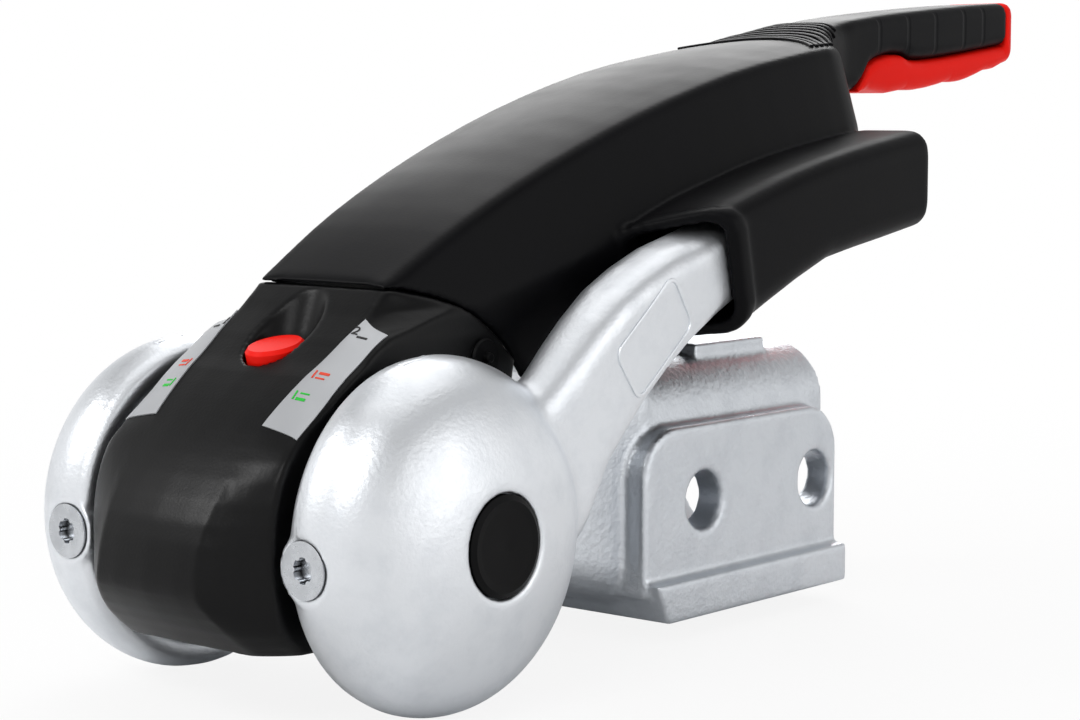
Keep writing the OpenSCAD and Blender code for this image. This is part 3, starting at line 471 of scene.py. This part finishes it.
# Silver films in place of the scale plates: corners X, Y in mm, the inner upper one first
FILM = [(-1.9, 22.4), (-1.7, 29.6), (-32.5, 29.9), (-32.5, 18.6)]
FILM_START_Z = 70
FILM_LIFT = 0.3
for side, sign in (("left", -1), ("right", 1)):
    bpy.ops.object.select_all(action="DESELECT")
    bpy.ops.mesh.primitive_plane_add(size=1)
    label = bpy.context.object
    order = [3, 1, 0, 2] if sign < 0 else [1, 3, 2, 0]
    for index, (x, y) in zip(order, FILM):
        label.data.vertices[index].co = (x * MM, sign * y * MM, FILM_START_Z * MM)
    bpy.ops.object.mode_set(mode="EDIT")
    bpy.ops.mesh.select_all(action="SELECT")
    bpy.ops.mesh.subdivide(number_cuts=20)
    bpy.ops.object.mode_set(mode="OBJECT")
    modify(label, "SHRINKWRAP", target=nose, wrap_method="PROJECT", use_project_z=True,
           use_negative_direction=True, use_positive_direction=False)
    modify(label, "SOLIDIFY", thickness=2 * FILM_LIFT * MM, offset=0)
    settle(label, "wear_film_" + side, "coupling", film)
    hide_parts("wear_scale_" + side)


# Marks printed on the films: kind, ink, X, Y, Z in mm, and a bar's length and width in mm
MARKS = [
    ("2", ink_black, -5.1, 22.8, 47.4, 0, 0), ("bar", ink_black, -5.8, 25.3, 46.0, 2.9, 0.7),
    ("1", ink_red, -18.8, 21.9, 38.5, 0, 0), ("bar", ink_red, -17.7, 24.3, 38.7, 2.9, 0.9),
    ("bar", ink_red, -19.2, 24.1, 37.7, 2.6, 0.5),
    ("1", ink_green, -24.8, 21.3, 33.9, 0, 0), ("bar", ink_green, -23.6, 23.6, 34.3, 2.6, 0.5),
    ("bar", ink_green, -25.0, 23.4, 33.1, 2.7, 0.9)]
DIGIT_HEIGHT = 2.8
MARK_HEIGHT = 0.3
MARK_BEVEL = 0.1
TEXT_SIZE_PER_HEIGHT = 1.4
for side, sign in (("left", -1), ("right", 1)):
    for k, (kind, ink, x, y, z, length, width) in enumerate(MARKS):
        above = Vector((x, sign * y, z)) + 2 * Vector((-0.55, sign * 0.25, 0.8))
        _, spot, normal, _ = nose.closest_point_on_mesh(above * MM)
        along = Vector((1, -0.12 * sign, 0.75))
        ahead = (along - normal * along.dot(normal)).normalized()
        spot = spot + normal * FILM_LIFT * MM
        across = ahead.cross(normal)
        bpy.ops.object.select_all(action="DESELECT")
        if kind == "bar":
            bpy.ops.mesh.primitive_cube_add(size=1)
            mark = bpy.context.object
            mark.scale = (length * MM, width * MM, MARK_HEIGHT * MM)
            bpy.ops.object.transform_apply(location=False, rotation=False, scale=True)
            modify(mark, "BEVEL", width=MARK_BEVEL * MM, segments=1)
        else:
            bpy.ops.object.text_add()
            mark = bpy.context.object
            mark.data.body = kind
            mark.data.size = DIGIT_HEIGHT * TEXT_SIZE_PER_HEIGHT * MM
            mark.data.align_x = "CENTER"
            mark.data.align_y = "CENTER"
            mark.data.extrude = MARK_HEIGHT / 2 * MM
            bpy.ops.object.convert(target="MESH")
            mark = bpy.context.object
        turn = Matrix((across, ahead, normal)).transposed().to_4x4()
        mark.matrix_world = Matrix.Translation(spot) @ turn
        settle(mark, f"scale_mark_{side}_{k + 1}", "coupling", ink)


# Pointer cast on each dome, next to the scale, in mm
POINTER_SIZE = (9, 2.4, 1.2)
POINTER_BEVEL = 0.4
POINTER_X = -7
POINTER_Y = 43
POINTER_Z = 42.1
POINTER_TILT = -9
for side, sign in (("left", -1), ("right", 1)):
    bpy.ops.object.select_all(action="DESELECT")
    bpy.ops.mesh.primitive_cube_add(size=1)
    pointer = bpy.context.object
    pointer.scale = [size * MM for size in POINTER_SIZE]
    bpy.ops.object.transform_apply(location=False, rotation=False, scale=True)
    modify(pointer, "BEVEL", width=POINTER_BEVEL * MM, segments=3)
    pointer.rotation_euler = (0, math.radians(POINTER_TILT), 0)
    pointer.location = (POINTER_X * MM, sign * POINTER_Y * MM, POINTER_Z * MM)
    settle(pointer, "dome_pointer_" + side, "stabiliser", lever_cast)


# ---------------------------------------------------------------- stage
def lamp(name, place, aim, size, watts):
    """A square soft box aimed at a point."""
    data = bpy.data.lights.new(name, "AREA")
    data.size = size
    data.energy = watts
    obj = bpy.data.objects.new(name, data)
    bpy.context.scene.collection.objects.link(obj)
    obj.location = place
    obj.rotation_euler = (Vector(aim) - Vector(place)).to_track_quat("-Z", "Y").to_euler()


middle = (0.08, 0.0, 0.02)
lamp("key", (-0.75, -0.25, 0.75), middle, 0.4, 3.0)
lamp("overhead", (0.25, 0.05, 0.95), middle, 0.9, 2.4)
lamp("front", (-0.6, 0.55, 0.62), (-0.05, 0, 0.01), 0.2, 2.6)
lamp("side", (0.3, -1.0, 0.35), middle, 0.7, 1.4)
lamp("rim", (0.75, 0.55, 0.55), middle, 0.6, 3.8)

# Height of the floor, just under the domes, in metres
FLOOR_Z = -0.0436
bpy.ops.object.select_all(action="DESELECT")
bpy.ops.mesh.primitive_grid_add(x_subdivisions=8, y_subdivisions=8, size=6,
                                location=(0, 0, FLOOR_Z))
floor = bpy.context.object
floor.name = "floor"
floor_material, tree, shader, place = start("white_sweep", Roughness=0.9)
shader.inputs["Base Color"].default_value = (0.85, 0.85, 0.85, 1)
seen = add(tree, "ShaderNodeLightPath", out="Is Camera Ray")
glow = add(tree, "ShaderNodeEmission", [("Color", (1, 1, 1, 1)), ("Strength", 1.0)])
far = add(tree, "ShaderNodeVectorMath", [(0, place)], "Value", operation="LENGTH")
share = add(tree, RANGE, [("Value", far)] + between(0.88, 1.0, 0.25, 0.75))
lit = add(tree, MATH, [(0, seen), (1, share)], operation="MULTIPLY")
mixed = add(tree, "ShaderNodeMixShader", [(0, lit), (1, shader.outputs[0]), (2, glow)])
tree.links.new(mixed, tree.nodes["Material Output"].inputs["Surface"])
dress(floor, floor_material)

world = bpy.data.worlds.new("studio")
bpy.context.scene.world = world
world.use_nodes = True
tree = world.node_tree
back = tree.nodes["Background"]
back.inputs["Color"].default_value = (1, 1, 1, 1)
seen = add(tree, "ShaderNodeLightPath", out="Is Camera Ray")
through = add(tree, "ShaderNodeLightPath", out="Is Transmission Ray")
glossy = add(tree, "ShaderNodeLightPath", out="Is Glossy Ray")
shown = add(tree, MATH, [(0, seen), (1, through)], operation="MAXIMUM")
# Reflections see a bright horizon and a darker sky
way = add(tree, "ShaderNodeTexCoord", out="Generated")
height = add(tree, "ShaderNodeSeparateXYZ", [("Vector", way)], "Z")
sky = add(tree, RANGE, [("Value", height)] + between(0.95, 0.35, 0.15, 0.75))
mirrored = add(tree, RANGE, [("Value", glossy), ("From Min", 0), ("From Max", 1),
                             ("To Min", 0.4), ("To Max", sky)])
strength = add(tree, MATH, [(0, shown), (1, mirrored)], operation="MAXIMUM")
tree.links.new(strength, back.inputs["Strength"])

camera_data = bpy.data.cameras.new("camera")
camera_data.lens = 83.19
camera_data.sensor_width = 36
camera_data.clip_start = 0.01
camera = bpy.data.objects.new("camera", camera_data)
bpy.context.scene.collection.objects.link(camera)
forward = Vector((0.7586, 0.6437, -0.1007)).normalized()
right = forward.cross(Vector((0, 0, 1))).normalized()
up = right.cross(forward)
turn = Matrix((right, up, -forward)).transposed()
camera.matrix_world = Matrix.Translation((-0.4304, -0.44097, 0.10131)) @ turn.to_4x4()
bpy.context.scene.camera = camera
bpy.context.scene.view_settings.view_transform = "Standard"
